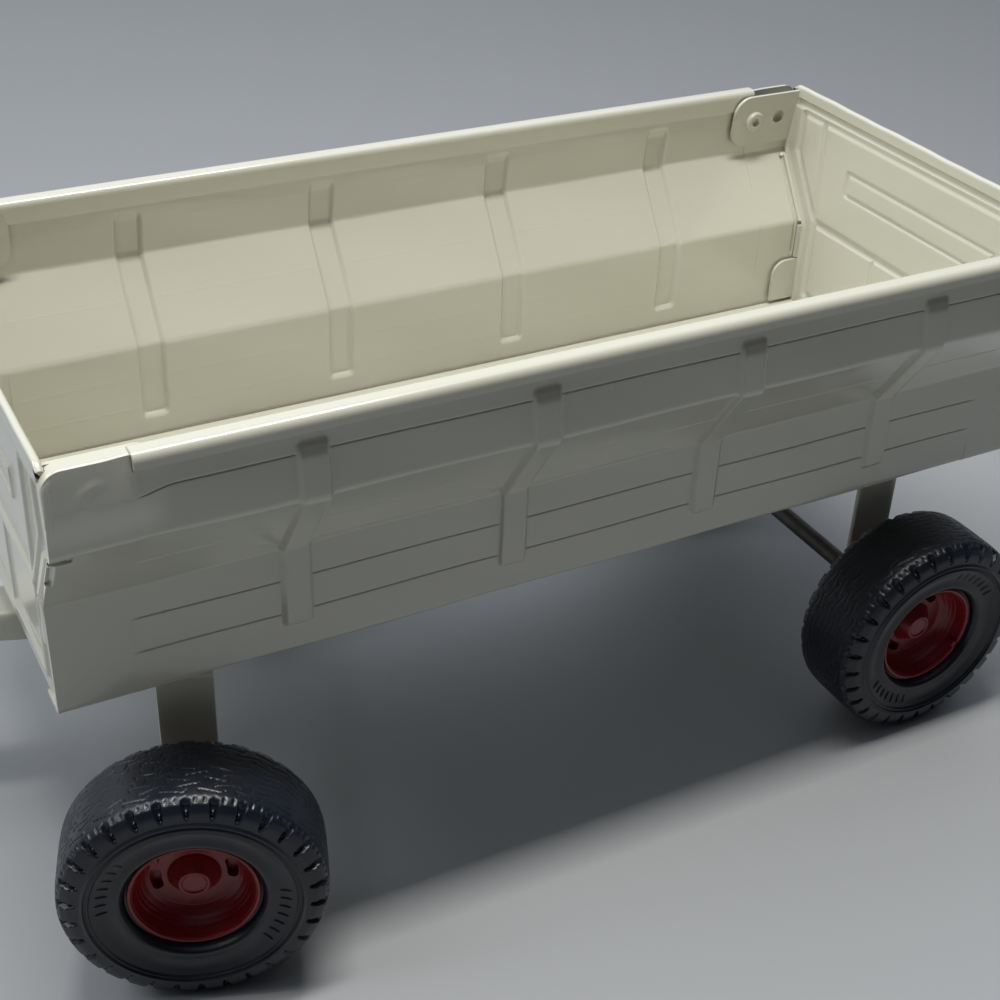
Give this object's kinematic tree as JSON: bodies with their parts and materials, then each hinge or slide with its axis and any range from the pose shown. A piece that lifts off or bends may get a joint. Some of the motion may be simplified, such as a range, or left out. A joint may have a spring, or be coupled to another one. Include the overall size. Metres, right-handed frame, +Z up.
{
  "type": "toy farm wagon",
  "caption": "Pressed-steel toy wagon: flared open box with embossed ribs on steerable U-bracket axles with rubber tyres and a channel drawbar.",
  "frame": {"origin": "middle of the whole wagon's footprint, on the ground under the wheels, with the drawbar turned as it stands at rest", "axes": "+X along the box towards its rear, the drawbar end is -X; +Y to the wagon's left; +Z up"},
  "size_m": [0.287, 0.1426, 0.119],
  "materials": {
    "axle_steel": "dull, darkened",
    "cream_paint": "gloss, worn",
    "hub_plastic": "semi-gloss",
    "plain_steel": "satin",
    "tyre_rubber": "matte"
  },
  "bodies": {
    "box": {"corner_eyelets": "plain_steel", "floor_pan": "cream_paint", "floor_rivets": "cream_paint", "king_rivet": "plain_steel", "king_spacer": "plain_steel", "left_side_panel": "cream_paint", "rear_axle_bracket": "cream_paint", "rear_axle_rod": "axle_steel", "rear_bracket_rivets": "cream_paint", "rear_end_panel": "cream_paint", "rear_push_nuts": "plain_steel", "rear_thrust_washers": "plain_steel", "right_side_panel": "cream_paint", "front_end_panel": "cream_paint"},
    "front_axle": {"front_axle_bracket": "cream_paint", "front_axle_rod": "axle_steel", "front_push_nuts": "plain_steel", "front_thrust_washers": "plain_steel", "tongue": "cream_paint", "tongue_rivets": "cream_paint"},
    "front_right_wheel": {"front_right_tyre": "tyre_rubber", "front_right_hub": "hub_plastic", "front_right_hub_cap": "hub_plastic"},
    "front_left_wheel": {"front_left_tyre": "tyre_rubber", "front_left_hub": "hub_plastic", "front_left_hub_cap": "hub_plastic"},
    "rear_right_wheel": {"rear_right_tyre": "tyre_rubber", "rear_right_hub": "hub_plastic", "rear_right_hub_cap": "hub_plastic"},
    "rear_left_wheel": {"rear_left_tyre": "tyre_rubber", "rear_left_hub": "hub_plastic", "rear_left_hub_cap": "hub_plastic"}
  },
  "joints": [
    {"name": "steer", "type": "hinge", "parent": "box", "child": "front_axle", "pos_m": [-0.04402, 0, 0.058], "axis": [0, 0, 1], "range_deg": [-25.8, 64.2]},
    {"name": "front_right_spin", "type": "hinge", "parent": "front_axle", "child": "front_right_wheel", "pos_m": [-0.06309, -0.05477, 0.0254], "axis": [0.3289, 0.9444, 0], "continuous": true},
    {"name": "front_left_spin", "type": "hinge", "parent": "front_axle", "child": "front_left_wheel", "pos_m": [-0.02494, 0.05477, 0.0254], "axis": [0.3289, 0.9444, 0], "continuous": true},
    {"name": "rear_right_spin", "type": "hinge", "parent": "box", "child": "rear_right_wheel", "pos_m": [0.11398, -0.0507, 0.0254], "axis": [0, 1, 0], "continuous": true},
    {"name": "rear_left_spin", "type": "hinge", "parent": "box", "child": "rear_left_wheel", "pos_m": [0.11398, 0.0507, 0.0254], "axis": [0, 1, 0], "continuous": true}
  ]
}
